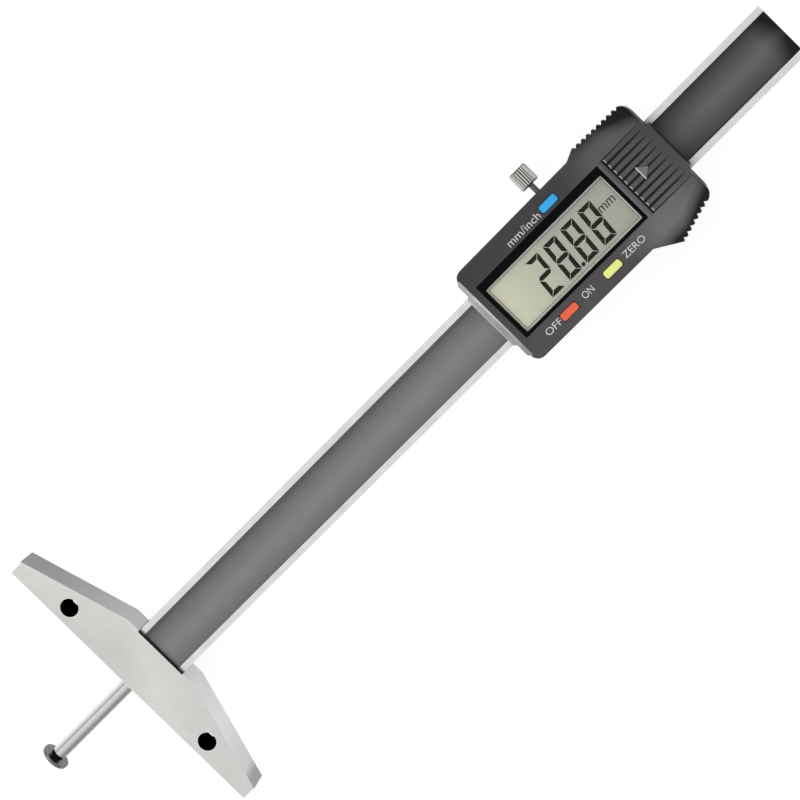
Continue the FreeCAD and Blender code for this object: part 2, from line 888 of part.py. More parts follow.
def make_battery_lid():
    half = lid_half_width
    rail_half = half + lid_rail_width
    base_top = cover_top - rib_depth
    body = block(lid_low, slider_top, -half, half, rail_low, base_top)
    rails = block(lid_low, slider_top, -rail_half, rail_half, rail_low, rail_top)
    tab = block(slider_top, slider_top + end_tab, -end_tab_half_width, end_tab_half_width, rail_low, base_top)
    body = body.fuse(rails).fuse(tab)
    rib_x0 = lid_low + rib_low_inset
    rib_x1 = slider_top - rib_high_inset
    for step in range(rib_count):
        y = (step - (rib_count - 1) / 2) * rib_pitch
        body = body.fuse(block(rib_x0, rib_x1, y - rib_width / 2, y + rib_width / 2, base_top, cover_top))
    mark_x = slider_top - mark_from_top
    mark = prism(
        [(mark_x, -mark_half_width), (mark_x + mark_length, 0), (mark_x, mark_half_width)],
        base_top,
        cover_top + mark_proud,
    )
    return body.fuse(mark).removeSplitter()


# ---------------------------------------------------------------- export
def all_parts():
    parts = {
        "base": make_base(),
        "base_screws": make_base_screws(),
        "beam": make_beam(),
        "scale_strip": make_scale_strip(),
        "scale_film": make_scale_film(),
        "end_stop": make_end_stop(),
        "end_stop_screws": make_end_stop_screws(),
        "depth_rod": make_depth_rod(),
        "rod_disc": make_rod_disc(),
        "rod_screws": make_rod_screws(),
        "slider_frame": make_slider_frame(),
        "gib_strip": make_gib_strip(),
        "gib_screws": make_gib_screws(),
        "lock_screw": make_lock_screw(),
        "housing_cover": make_housing_cover(),
        "case_screws": make_case_screws(),
        "lcd_bezel": make_lcd_bezel(),
        "lcd_window": make_lcd_window(),
        "lcd_glass": make_lcd_glass(),
        "zebra_strips": make_zebra_strips(),
        "circuit_board": make_circuit_board(),
        "chip_blob": make_chip_blob(),
        "quartz_crystal": make_quartz_crystal(),
        "key_switches": make_key_switches(),
        "button_cell": make_button_cell(),
        "cell_contact_negative": make_cell_contact_negative(),
        "cell_contact_positive": make_cell_contact_positive(),
        "battery_lid": make_battery_lid(),
    }
    for name, (x, y) in buttons.items():
        parts[name] = make_button(x, y)
    return parts


os.makedirs("parts", exist_ok=True)
for node, shape in all_parts().items():
    shape.exportStep(f"parts/{node}.step")
    solids = len(shape.Solids)
    print(f"{node}: {solids} solid(s), valid {shape.isValid()}, {shape.Volume:.1f} mm3")
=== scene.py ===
"""The looks of the digital depth gauge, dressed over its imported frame. All lengths are metres."""

import json
import math

import bmesh
import bpy
from mathutils import Matrix, Vector

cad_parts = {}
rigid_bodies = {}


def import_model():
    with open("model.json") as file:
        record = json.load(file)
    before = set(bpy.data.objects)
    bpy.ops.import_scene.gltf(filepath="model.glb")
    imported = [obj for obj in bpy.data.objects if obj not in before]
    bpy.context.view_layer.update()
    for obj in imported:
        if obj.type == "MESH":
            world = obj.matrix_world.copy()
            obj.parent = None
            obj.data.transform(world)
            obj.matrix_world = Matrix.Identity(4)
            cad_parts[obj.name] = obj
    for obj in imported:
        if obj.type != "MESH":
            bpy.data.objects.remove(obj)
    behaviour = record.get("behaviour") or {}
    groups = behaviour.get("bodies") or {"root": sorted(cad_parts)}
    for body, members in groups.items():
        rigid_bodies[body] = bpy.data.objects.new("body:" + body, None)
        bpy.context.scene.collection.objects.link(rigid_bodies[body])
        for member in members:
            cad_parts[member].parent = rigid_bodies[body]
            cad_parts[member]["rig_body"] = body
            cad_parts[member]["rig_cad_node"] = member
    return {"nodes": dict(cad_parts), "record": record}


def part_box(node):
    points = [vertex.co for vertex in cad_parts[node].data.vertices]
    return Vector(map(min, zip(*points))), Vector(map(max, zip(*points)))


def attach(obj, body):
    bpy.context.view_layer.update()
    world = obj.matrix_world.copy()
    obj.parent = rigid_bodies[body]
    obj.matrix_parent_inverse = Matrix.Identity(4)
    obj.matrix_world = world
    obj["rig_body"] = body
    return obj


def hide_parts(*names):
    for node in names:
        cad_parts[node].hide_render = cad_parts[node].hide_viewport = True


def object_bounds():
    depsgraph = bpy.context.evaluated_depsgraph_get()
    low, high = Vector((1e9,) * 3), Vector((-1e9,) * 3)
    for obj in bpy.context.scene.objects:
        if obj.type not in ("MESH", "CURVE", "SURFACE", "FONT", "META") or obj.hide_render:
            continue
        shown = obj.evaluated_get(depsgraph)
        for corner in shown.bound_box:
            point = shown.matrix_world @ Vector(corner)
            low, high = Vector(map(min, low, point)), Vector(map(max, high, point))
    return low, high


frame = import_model()
nodes = frame["nodes"]
cad_low, cad_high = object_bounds()

MM = 0.001
TINY = 0.0005 * MM          # edges shorter than this are closed up
WELD = 0.001 * MM           # points closer than this are merged
HAIR = 0.02 * MM            # thickness of paint and of display ink
NEAR = 0.1 * MM             # reach of the tests that pick faces and points by their place
OVERLAP = 0.1 * MM          # how far joined parts go into each other
FLAT_ANGLE = math.radians(1)
SHARP_ANGLE = math.radians(30)
ALONG_X = (0, math.pi / 2, 0)           # the turns of a round bar, which is made along Z
ALONG_Y = (-math.pi / 2, 0, 0)
ALONG_Z = (0, 0, 0)


# ---------------------------------------------------------------- modelling helpers
def deselect_everything():
    if bpy.context.object and bpy.context.object.mode != "OBJECT":
        bpy.ops.object.mode_set(mode="OBJECT")
    bpy.ops.object.select_all(action="DESELECT")


def pick(piece):
    deselect_everything()
    piece.select_set(True)
    bpy.context.view_layer.objects.active = piece


def edit(piece):
    pick(piece)
    bpy.ops.object.mode_set(mode="EDIT")


def settle(piece, name):
    """Back to object mode, named, with the piece's place in its mesh."""
    piece.name = name
    piece.data.name = name
    pick(piece)
    bpy.ops.object.transform_apply(location=True, rotation=True, scale=True)
    return piece


def choose_faces(piece, test):
    """In edit mode: selects the faces whose centre and normal pass the test."""
    bpy.ops.mesh.select_mode(type="FACE")
    bpy.ops.mesh.select_all(action="DESELECT")
    mesh = bmesh.from_edit_mesh(piece.data)
    for face in mesh.faces:
        face.select_set(bool(test(face.calc_center_median(), face.normal)))
    bmesh.update_edit_mesh(piece.data)


def choose_verts(piece, test):
    """In edit mode: selects the vertices that pass the test."""
    bpy.ops.mesh.select_mode(type="VERT")
    bpy.ops.mesh.select_all(action="DESELECT")
    mesh = bmesh.from_edit_mesh(piece.data)
    for vert in mesh.verts:
        vert.select_set(bool(test(vert.co)))
    mesh.select_flush(True)
    bmesh.update_edit_mesh(piece.data)


def cut(axis, place):
    """In edit mode: cuts the whole mesh by a plane square to an axis, and keeps both sides."""
    square = Vector([float(letter == axis) for letter in "xyz"])
    bpy.ops.mesh.select_all(action="SELECT")
    bpy.ops.mesh.bisect(plane_co=square * place, plane_no=square)


def soften(piece, width, segments=2, angle=SHARP_ANGLE):
    """Rounds the sharp edges and shades the rest smooth."""
    pick(piece)
    bevel = piece.modifiers.new("edges", "BEVEL")
    bevel.width = width
    bevel.segments = segments
    bevel.limit_method = "ANGLE"
    bevel.angle_limit = angle
    bpy.ops.object.modifier_apply(modifier=bevel.name)
    edit(piece)
    bpy.ops.mesh.select_all(action="SELECT")
    bpy.ops.mesh.dissolve_degenerate(threshold=TINY)
    pick(piece)
    bpy.ops.object.shade_smooth_by_angle(angle=SHARP_ANGLE)
    even = piece.modifiers.new("even", "WEIGHTED_NORMAL")
    even.keep_sharp = True
    bpy.ops.object.modifier_apply(modifier=even.name)


def own_copy(node):
    """A separate, merged copy of a node's mesh, to be finished as a piece of its own."""
    piece = nodes[node].copy()
    piece.data = nodes[node].data.copy()
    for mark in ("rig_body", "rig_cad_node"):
        del piece[mark]
    bpy.context.scene.collection.objects.link(piece)
    piece.parent = None
    piece.name = node + "_finished"
    edit(piece)
    bpy.ops.mesh.select_all(action="SELECT")
    bpy.ops.mesh.remove_doubles(threshold=WELD)
    bpy.ops.mesh.dissolve_limited(angle_limit=FLAT_ANGLE)
    deselect_everything()
    return piece


def body_of_node(node):
    for body, members in frame["record"]["behaviour"]["bodies"].items():
        if node in members:
            return body


def wear(piece, *materials):
    piece.data.materials.clear()
    for material in materials:
        piece.data.materials.append(material)


def paint(piece, index, test):
    """Gives another of the piece's materials to the faces whose centre and normal pass the test."""
    for face in piece.data.polygons:
        if test(face.center, face.normal):
            face.material_index = index


def joined(parts, name):
    """The parts made one piece."""
    deselect_everything()
    for part in parts:
        part.select_set(True)
    bpy.context.view_layer.objects.active = parts[0]
    bpy.ops.object.join()
    piece = bpy.context.object
    piece.name = name
    return piece


def bar_between(name, x0, x1, y0, y1, z0, z1):
    """A bar between two corners, to be shaped further."""
    deselect_everything()
    bpy.ops.mesh.primitive_cube_add(size=1, location=((x0 + x1) / 2, (y0 + y1) / 2, (z0 + z1) / 2))
    piece = bpy.context.object
    piece.scale = (x1 - x0, y1 - y0, z1 - z0)
    return settle(piece, name)


def round_bar(name, centre, radius, length, turn, vertices):
    """A round bar about its centre, to be shaped further."""
    deselect_everything()
    bpy.ops.mesh.primitive_cylinder_add(
        vertices=vertices, radius=radius, depth=length, location=centre, rotation=turn
    )
    return settle(bpy.context.object, name)


def placed_copy(piece, place):
    """A copy with its own mesh, which a matrix puts in its place."""
    twin = piece.copy()
    twin.data = piece.data.copy()
    bpy.context.scene.collection.objects.link(twin)
    twin.data.transform(place)
    return twin


def stand_for(piece, node):
    """The piece takes a node's place, on its body and with its finish."""
    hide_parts(node)
    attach(piece, body_of_node(node))


def finished_node(node, width, material):
    """The node with its sharp edges rounded, in its own material."""
    piece = own_copy(node)
    soften(piece, width)
    wear(piece, material)
    stand_for(piece, node)


# ---------------------------------------------------------------- material helpers
NOISE_LOW = 0.3             # a noise's values lie mostly between these
NOISE_HIGH = 0.7
MIX_A = 6                   # a Mix node's sockets for colours
MIX_B = 7
MIX_RESULT = 2


def new_material(name, colour, metallic=0.0, roughness=0.5, **constants):
    """A Principled material. Constants are socket names in lower case with underscores."""
    material = bpy.data.materials.new(name)
    material.use_nodes = True
    shader = material.node_tree.nodes["Principled BSDF"]
    shader.inputs["Base Color"].default_value = (*colour, 1)
    shader.inputs["Metallic"].default_value = metallic
    shader.inputs["Roughness"].default_value = roughness
    for socket, value in constants.items():
        shader.inputs[socket.replace("_", " ").title().replace("Ior", "IOR")].default_value = value
    return material


def node_of(material, kind, **values):
    node = material.node_tree.nodes.new("ShaderNode" + kind)
    for name, value in values.items():
        if hasattr(node, name):
            setattr(node, name, value)
        else:
            node.inputs[name.replace("_", " ").title()].default_value = value
    return node


def wire(material, source, target):
    material.node_tree.links.new(source, target)


def scaled_place(material, cycles):
    """The object's own coordinates, times the number of cycles in a metre of each axis."""
    place = node_of(material, "TexCoord")
    mapping = node_of(material, "Mapping", scale=cycles)
    wire(material, place.outputs["Object"], mapping.inputs["Vector"])
    return mapping.outputs["Vector"]


def grain(material, cycles, detail):
    """Noise with the same number of cycles in a metre of each axis."""
    return stretched_grain(material, (cycles, cycles, cycles), detail)


def stretched_grain(material, cycles, detail):
    """Noise with its own number of cycles in a metre of each axis."""
    noise = node_of(material, "TexNoise", scale=1.0, detail=detail)
    wire(material, scaled_place(material, cycles), noise.inputs["Vector"])
    return noise.outputs["Fac"]


def remap(material, value, low, high, from_low=NOISE_LOW, from_high=NOISE_HIGH):
    """Turns the range from from_low to from_high into the range from low to high, and keeps within it."""
    node = node_of(material, "MapRange")
    for name, number in (("From Min", from_low), ("From Max", from_high), ("To Min", low), ("To Max", high)):
        node.inputs[name].default_value = number
    wire(material, value, node.inputs["Value"])
    return node.outputs["Result"]


def part_way(material, value, start, end):
    """How far the value is on its way from start to end, from 0 to 1."""
    return remap(material, value, 0.0, 1.0, start, end)


def shader_of(material):
    return material.node_tree.nodes["Principled BSDF"]


def vary_roughness(material, value, low, high):
    wire(material, remap(material, value, low, high), shader_of(material).inputs["Roughness"])


def bump(material, value, height, strength=1.0):
    node = node_of(material, "Bump", strength=strength, distance=height)
    wire(material, value, node.inputs["Height"])
    wire(material, node.outputs["Normal"], shader_of(material).inputs["Normal"])


def shade(colour, factor):
    return tuple(part * factor for part in colour)


def surface_place(material):
    """X, Y and Z of the surface point, in the object's own frame."""
    place = node_of(material, "TexCoord")
    split = node_of(material, "SeparateXYZ")
    wire(material, place.outputs["Object"], split.inputs["Vector"])
    return split.outputs


def reckon(material, operation, *values):
    """A Math node, whose inputs are sockets or numbers."""
    node = node_of(material, "Math", operation=operation)
    for socket, value in zip(node.inputs, values):
        if isinstance(value, (int, float)):
            socket.default_value = value
        else:
            wire(material, value, socket)
    return node.outputs["Value"]


def through(material, axis, box):
    """How far the surface point is through a box along an axis, from 0 to 1."""
    low, high = box
    number = "XYZ".index(axis)
    return part_way(material, surface_place(material)[axis], low[number], high[number])


def grey(level):
    return (level, level, level)


def tones(material, value, *steps):
    """A colour that goes through the steps, each a position and a tone, as the value goes from 0 to 1."""
    ramp = node_of(material, "ValToRGB")
    elements = ramp.color_ramp.elements
    for element, (position, tone) in zip(elements, (steps[0], steps[-1])):
        element.position = position
        element.color = (*tone, 1)
    for position, tone in steps[1:-1]:
        elements.new(position).color = (*tone, 1)
    wire(material, value, ramp.inputs["Fac"])
    return ramp.outputs["Color"]


def greys(material, value, *steps):
    """A grey that goes through the steps, each a position and a level."""
    return tones(material, value, *((position, grey(level)) for position, level in steps))


def vary_colour(material, value, dark, light):
    """The base colour moves between two tones as the value goes through its middle range."""
    varied = tones(material, value, (NOISE_LOW, dark), (NOISE_HIGH, light))
    wire(material, varied, shader_of(material).inputs["Base Color"])


def tint_over(material, tint):
    """Multiplies the base colour that the material has so far by another colour."""
    base = shader_of(material).inputs["Base Color"]
    mix = node_of(material, "Mix", data_type="RGBA", blend_type="MULTIPLY")
    mix.inputs["Factor"].default_value = 1.0
    wire(material, base.links[0].from_socket, mix.inputs[MIX_A])
    wire(material, tint, mix.inputs[MIX_B])
    wire(material, mix.outputs[MIX_RESULT], base)


def darken(material, value, *steps):
    """Multiplies the base colour by levels of grey, each given with its position."""
    tint_over(material, greys(material, value, *steps))


# ---------------------------------------------------------------- materials
LINES_ACROSS = 9000.0           # ground lines in a metre, counted across them
LINES_STRETCH = 60              # how many times longer than wide they are
SCRATCH_HEIGHT = 0.0012 * MM
PLASTIC_TONE = 0.08             # how far moulded plastic strays from its colour
FILM_GREY = (0.226, 0.219, 0.223)
FILM_HIGHLIGHT_Y = -0.8 * MM       # where the painted highlight along the film is brightest
FILM_SHADE_START = 190 * MM     # painted shade darkens the film from here
FILM_SHADE_FADE = 8 * MM        # over this length
FILM_TIP_SHADE_LENGTH = 6 * MM        # painted shade at the film's tip, measured from its free end
FILM_TIP_SHADE_DARKEST = 0.5 * MM
FILM_TIP_SHADE_MIDDLE = 0.6           # how strong the tip's painted shade is in its middle, as a share of its sides'
# painted reflection on the display glass along X: palest at its lower end
DISPLAY_REFLECTION_TONES = ((0.0, (0.88, 0.88, 0.65)), (0.5, (0.56, 0.56, 0.485)), (1.0, (0.51, 0.505, 0.43)))
COVER_GREY = (0.165, 0.158, 0.164)
COVER_SHADE_SIDE_Y = 12 * MM          # painted shade across the cover, as far out as this on both sides
COVER_SHOULDER_LIGHT_X = (176 * MM, 200 * MM)        # and painted light up it over this stretch, palest on the shoulders
GRIP_SHADE_MIDDLE_Y = -0.95 * MM     # the painted shade of the grips' rims is measured outwards from here
GRIP_RIM_SHADE = (13.2 * MM, 16.4 * MM)           # how far out it begins and is full
GRIP_RIM_SHADE_X = (178 * MM, 186 * MM)           # and how far up the cover
GRIP_CORNER_SHADE_X = 190 * MM        # from here up, it closes in on the corners
GRIP_CORNER_SHADE_CLOSING = 0.4       # by this share of the way up
KNURL_DEPTH = 0.3 * MM
KNURL_SHADE_CREST = 0.05 * MM         # the painted shade in the grooves lifts from this far below the crests


def brushed_metal(name, colour, along, roughness, tone, spread=0.06):
    """Ground metal: fine lines run along one axis, and broad soft patches lie over them."""
    material = new_material(name, colour, metallic=1.0, roughness=roughness)
    cycles = [LINES_ACROSS / LINES_STRETCH if axis == along else LINES_ACROSS for axis in "xyz"]
    lines = stretched_grain(material, cycles, detail=3.0)
    vary_roughness(material, lines, roughness - spread, roughness + spread)
    patches = grain(material, 240.0, detail=5.0)
    mean = reckon(material, "MULTIPLY", reckon(material, "ADD", lines, patches), 0.5)
    vary_colour(material, mean, shade(colour, 1 - tone), shade(colour, 1 + tone))
    bump(material, lines, SCRATCH_HEIGHT)
    return material


def turned_metal(name, colour, roughness):
    """Polished metal with a faint unevenness."""
    material = new_material(name, colour, metallic=1.0, roughness=roughness)
    patches = grain(material, 900.0, detail=3.0)
    vary_roughness(material, patches, roughness * 0.8, roughness * 1.3)
    vary_colour(material, patches, shade(colour, 0.93), shade(colour, 1.05))
    return material


def moulded_plastic(name, colour, roughness, grain_height=0.004, **constants):
    """Moulded plastic with a fine spark-eroded grain, whose height is in millimetres."""
    material = new_material(name, colour, roughness=roughness, **constants)
    pits = grain(material, 4500.0, detail=2.0)
    cloud = grain(material, 120.0, detail=2.0)
    vary_roughness(material, cloud, roughness * 0.9, roughness * 1.1)
    vary_colour(material, cloud, shade(colour, 1 - PLASTIC_TONE), shade(colour, 1 + PLASTIC_TONE))
    bump(material, pits, grain_height * MM, strength=0.6)
    return material


def film_material():
    """Satin grey film with painted light and shade: a painted highlight along its middle, painted shade at
    its borders, and painted shade over its upper end and tip.
    """
    material = new_material("scale_film_grey", FILM_GREY, roughness=0.34, specular_ior_level=0.2)
    speck = grain(material, 5000.0, detail=2.0)
    vary_roughness(material, speck, 0.3, 0.4)
    cloud = grain(material, 260.0, detail=3.0)
    vary_colour(material, cloud, shade(FILM_GREY, 0.96), shade(FILM_GREY, 1.04))
    bump(material, speck, 0.001 * MM)
    place = surface_place(material)
    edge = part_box("scale_film")[1]
    from_highlight = reckon(material, "ABSOLUTE", reckon(material, "SUBTRACT", place["Y"], FILM_HIGHLIGHT_Y))
    across = part_way(material, from_highlight, 0.0, edge.y)
    # painted highlight along the middle, painted shade towards the borders
    darken(material, across, (0.15, 1.0), (0.67, 0.78), (0.92, 0.6), (1.0, 0.45))
    # painted shade over the upper end, darkest at the borders
    upper = part_way(material, place["X"], FILM_SHADE_START, FILM_SHADE_START + FILM_SHADE_FADE)
    from_line = part_way(material, reckon(material, "ABSOLUTE", place["Y"]), 0.0, edge.y)
    upper_painted_shade = greys(
        material, from_line,
        (0.1, 0.56), (0.62, 0.43), (0.9, 0.38), (0.97, 0.22), (1.0, 0.1),
    )
    blend = node_of(material, "Mix", data_type="RGBA")
    wire(material, upper, blend.inputs["Factor"])
    blend.inputs[MIX_A].default_value = (1, 1, 1, 1)
    wire(material, upper_painted_shade, blend.inputs[MIX_B])
    tint_over(material, blend.outputs[MIX_RESULT])
    # painted shade at the tip, weaker along the middle
    tip = part_way(material, place["X"], edge.x - FILM_TIP_SHADE_LENGTH, edge.x - FILM_TIP_SHADE_DARKEST)
    strength = reckon(material, "MULTIPLY_ADD", from_line, 1 - FILM_TIP_SHADE_MIDDLE, FILM_TIP_SHADE_MIDDLE)
    tip_painted_shade = reckon(material, "MULTIPLY", tip, strength)
    darken(material, tip_painted_shade, (0.0, 1.0), (0.5, 0.3), (0.7, 0.02))
    return material


def display_material():
    """Display glass: grey-green, with a painted reflection that makes it palest at its lower end."""
    material = new_material("display_grey_green", (0.5, 0.51, 0.42), roughness=0.3)
    cloud = grain(material, 70.0, detail=2.0)
    vary_colour(material, cloud, (0.93, 0.96, 0.94), (1, 1, 0.98))
    tint_over(material, tones(material, through(material, "X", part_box("lcd_glass")), *DISPLAY_REFLECTION_TONES))
    return material


def window_material():
    """Clear acrylic pane over the display."""
    material = new_material("window_clear", (0.02, 0.02, 0.02), roughness=0.05, alpha=0.06)
    cloud = grain(material, 200.0, detail=2.0)
    vary_roughness(material, cloud, 0.02, 0.06)
    return material


def circuit_material():
    """Green board with pale copper tracks under its lacquer."""
    material = new_material("board_green", (0.03, 0.2, 0.08), roughness=0.35)
    cells = node_of(material, "TexVoronoi", feature="DISTANCE_TO_EDGE", distance="CHEBYCHEV")
    wire(material, scaled_place(material, (900.0, 900.0, 900.0)), cells.inputs["Vector"])
    tracks = remap(material, cells.outputs["Distance"], 1.0, 0.0, 0.04, 0.1)
    vary_colour(material, tracks, (0.02, 0.14, 0.05), (0.08, 0.34, 0.14))
    return material


def base_milled_material():
    """The base's milled ends and slopes, with painted light on the wing away from the lock screw and painted
    shade on the other wing and at the wings' far ends.
    """
    material = brushed_metal("base_milled_painted_light", grey(1.0), "z", 0.48, tone=0.05)
    # painted light and shade across the base, by Y
    darken(
        material, through(material, "Y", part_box("base")),
        (0.03, 0.36), (0.06, 0.62), (0.22, 0.74), (0.79, 0.375), (0.94, 0.30),
    )
    return material


def nose_material():
    """The frame's sloped nose: a paler copy of the frame's steel, with painted light over the beam and
    painted shade at its ends.
    """
    material = brushed_metal("nose_satin_painted_light", grey(1.0), "y", 0.5, tone=0.05)
    darken(
        material, through(material, "Y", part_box("slider_frame")),
        (0.1, 0.33), (0.2, 0.46), (0.26, 0.60), (0.5, 0.90), (0.75, 0.86), (0.8, 0.62), (0.9, 0.53),
    )
    return material


def cover_material(name, level):
    """The cover's moulding with painted light and shade: palest on the shoulders, painted shade towards its
    +Y side and at the grips' rims and corners.
    """
    material = moulded_plastic(name, shade(COVER_GREY, level), 0.42, specular_ior_level=0.15)
    place = surface_place(material)
    side = part_way(material, place["Y"], -COVER_SHADE_SIDE_Y, COVER_SHADE_SIDE_Y)
    along = part_way(material, place["X"], *COVER_SHOULDER_LIGHT_X)
    out = reckon(material, "ABSOLUTE", reckon(material, "SUBTRACT", place["Y"], GRIP_SHADE_MIDDLE_Y))
    up = reckon(material, "MAXIMUM", reckon(material, "SUBTRACT", place["X"], GRIP_CORNER_SHADE_X), 0.0)
    reach = reckon(material, "ADD", reckon(material, "MULTIPLY", up, GRIP_CORNER_SHADE_CLOSING), out)
    rim = part_way(material, reach, *GRIP_RIM_SHADE)
    rim_painted_shade = reckon(material, "MULTIPLY", rim, part_way(material, place["X"], *GRIP_RIM_SHADE_X))
    # painted shade towards +Y, painted light on the shoulders, painted shade at the grips' rims and corners
    darken(material, side, (0.0, 1.0), (1.0, 0.63))
    darken(material, along, (0.0, 0.5), (0.42, 1.0), (0.67, 1.0), (0.96, 0.7))
    darken(material, rim_painted_shade, (0.0, 1.0), (0.5, 0.62), (1.0, 0.06))
    return material


def lid_groove_material():
    """Between the lid's ribs: painted shade, darkest where the grooves are deep and as pale as the cover
    where they run out.
    """
    material = moulded_plastic("lid_groove_painted_shade", shade(COVER_GREY, 0.7), 0.5, specular_ior_level=0.1)
    along = through(material, "X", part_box("battery_lid"))
    darken(material, along, (0.0, 0.10), (0.5, 0.14), (0.8, 0.35), (0.95, 0.9))
    return material


def rod_material():
    """Drawn steel, with painted reflections: light and dark streaks along its length."""
    material = brushed_metal("rod_painted_reflections", (0.82, 0.81, 0.795), "x", 0.28, tone=0.05, spread=0.05)
    # painted reflections: light and dark streaks across the rod, by Y
    darken(
        material, through(material, "Y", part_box("depth_rod")),
        (0.0, 0.30), (0.2, 0.42), (0.3, 0.62), (0.55, 0.76),
        (0.62, 0.52), (0.69, 0.30), (0.76, 0.42), (0.84, 0.95),
    )
    return material


def knob_material():
    """Nickelled steel, with painted shade in the knurl's grooves."""
    material = turned_metal("knob_nickel", (0.66, 0.645, 0.62), 0.26)
    place = surface_place(material)
    low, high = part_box("lock_screw")
    across = reckon(material, "SUBTRACT", place["X"], (low.x + high.x) / 2)
    rise = reckon(material, "SUBTRACT", place["Z"], (low.z + high.z) / 2)
    squares = [reckon(material, "MULTIPLY", side, side) for side in (across, rise)]
    radius = reckon(material, "SQRT", reckon(material, "ADD", *squares))
    outer = (high.x - low.x) / 2
    lit = part_way(material, radius, outer - KNURL_DEPTH, outer - KNURL_SHADE_CREST)
    # painted shade in the knurl's grooves
    darken(material, lit, (0.0, 0.16), (0.5, 0.5), (0.9, 1.0))
    return material


base_ground = brushed_metal("base_ground", (0.63, 0.615, 0.60), "y", 0.42, tone=0.05)
base_edge_highlight = brushed_metal("base_edge_highlight", (0.97, 0.955, 0.94), "y", 0.5, tone=0.03)
base_milled_painted_light = base_milled_material()
hole_painted_shade = moulded_plastic("hole_painted_shade", grey(0.001), 0.6, specular_ior_level=0.0)
slot_painted_shade = moulded_plastic("slot_painted_shade", grey(0.012), 0.5, specular_ior_level=0.3)
beam_ground = brushed_metal("beam_ground", (0.68, 0.665, 0.66), "x", 0.38, tone=0.12)
frame_satin = brushed_metal("frame_satin", (0.60, 0.59, 0.575), "y", 0.42, tone=0.07)
nose_satin_painted_light = nose_material()
rod_painted_reflections = rod_material()
disc_turned = turned_metal("disc_turned", (0.19, 0.19, 0.18), 0.26)
neck_painted_shade = turned_metal("neck_painted_shade", grey(0.01), 0.5)
screw_plain = turned_metal("screw_plain", (0.42, 0.42, 0.42), 0.36)
knob_nickel = knob_material()
stem_steel = turned_metal("stem_steel", (0.17, 0.165, 0.16), 0.34)
brass = turned_metal("gib_brass", (0.70, 0.50, 0.22), 0.35)
bronze = turned_metal("contact_bronze", (0.75, 0.55, 0.28), 0.32)
cell_bright = turned_metal("cell_bright", (0.72, 0.72, 0.71), 0.25)
can_bright = turned_metal("can_bright", (0.70, 0.70, 0.72), 0.25)
laminate = moulded_plastic("scale_laminate", (0.03, 0.14, 0.07), 0.45)
film_grey = film_material()
cover_grey = cover_material("cover_grey", 1.0)
# a darker copy of the cover for the walls round the grips: painted shade
cover_side_painted_shade = moulded_plastic("cover_side_painted_shade", grey(0.030), 0.6, specular_ior_level=0.12)
# the lid: the cover's moulding at a lower level, with the same painted light and shade
lid_grey = cover_material("lid_grey", 0.75)
lid_groove_painted_shade = lid_groove_material()
lid_rib_end_highlight = moulded_plastic("lid_rib_end_highlight", grey(0.42), 0.5)
mark_grey = moulded_plastic("mark_grey", grey(0.15), 0.5)
mark_edge_highlight = moulded_plastic("mark_edge_highlight", grey(0.80), 0.5)
bezel_black = moulded_plastic("bezel_black", grey(0.002), 0.5, grain_height=0.001, specular_ior_level=0.05)
display_glass = display_material()
ink_dark = moulded_plastic(
    "display_ink", (0.016, 0.018, 0.012), 0.6, grain_height=0.0, specular_ior_level=0.1
)
ink_pale = moulded_plastic(
    "display_ink_pale", (0.12, 0.12, 0.10), 0.6, grain_height=0.0, specular_ior_level=0.1
)
edge_pale = moulded_plastic("display_edge_pale", (0.85, 0.84, 0.78), 0.5, grain_height=0.0)
window_clear = window_material()
paint_white = moulded_plastic("label_white", grey(0.68), 0.55, grain_height=0.001)
button_blue = moulded_plastic("button_blue", (0.018, 0.40, 0.86), 0.42)
button_yellow = moulded_plastic("button_yellow", (0.88, 0.92, 0.28), 0.42)
button_red = moulded_plastic("button_red", (0.84, 0.12, 0.045), 0.42)
switch_black = moulded_plastic("switch_black", (0.03, 0.03, 0.03), 0.5)
epoxy_black = moulded_plastic("epoxy_black", (0.012, 0.012, 0.012), 0.25)
zebra_pink = moulded_plastic("zebra_pink", (0.55, 0.42, 0.40), 0.6)
board_green = circuit_material()


# ---------------------------------------------------------------- base and beam
def finish_base():
    """Ground front, back and measuring face, a painted highlight on the rounded edges, milled ends and
    slopes, and painted shade in the holes and slot.
    """
    piece = own_copy("base")
    soften(piece, 0.12 * MM)
    slot_gap = 0.1 * MM
    hole_margin_mm = 0.2
    upper_margin = 0.2 * MM
    half_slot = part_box("beam")[1].y + slot_gap
    edit(piece)
    for side in (-1, 1):
        cut("y", side * half_slot)
    deselect_everything()
    wear(piece, base_ground, base_milled_painted_light, hole_painted_shade, slot_painted_shade, base_edge_highlight)
    milled, hole_wall, slot_wall, rounded = range(1, 5)
    upper_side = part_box("base")[1].x - upper_margin
    hole = frame["record"]["mounts"][1]
    reach = (hole["dims"]["hole_r_mm"] + hole_margin_mm) * MM
    hole_x = hole["pos_m"][0]
    hole_y = hole["dims"]["spacing_y_mm"] / 2 * MM
    for face in piece.data.polygons:
        centre = face.center
        rise = abs(face.normal.z)
        in_hole = math.hypot(centre.x - hole_x, abs(centre.y) - hole_y) < reach
        over_beam = centre.x > upper_side and abs(centre.y) < half_slot
        # painted shade on the hole walls and the slot's wall, painted highlight on the rounded edges
        if in_hole and rise <= 0.5:
            face.material_index = hole_wall
        elif over_beam and face.normal.x > 0.5:
            face.material_index = slot_wall
        elif 0.2 < rise < 0.95:
            face.material_index = rounded
        elif rise <= 0.5 and face.normal.x >= -0.9:
            face.material_index = milled
    stand_for(piece, "base")


finish_base()
finished_node("beam", 0.12 * MM, beam_ground)
finished_node("end_stop", 0.15 * MM, beam_ground)
finished_node("scale_film", 0.04 * MM, film_grey)
finished_node("base_screws", 0.12 * MM, screw_plain)
finished_node("end_stop_screws", 0.1 * MM, screw_plain)
wear(nodes["scale_strip"], laminate)


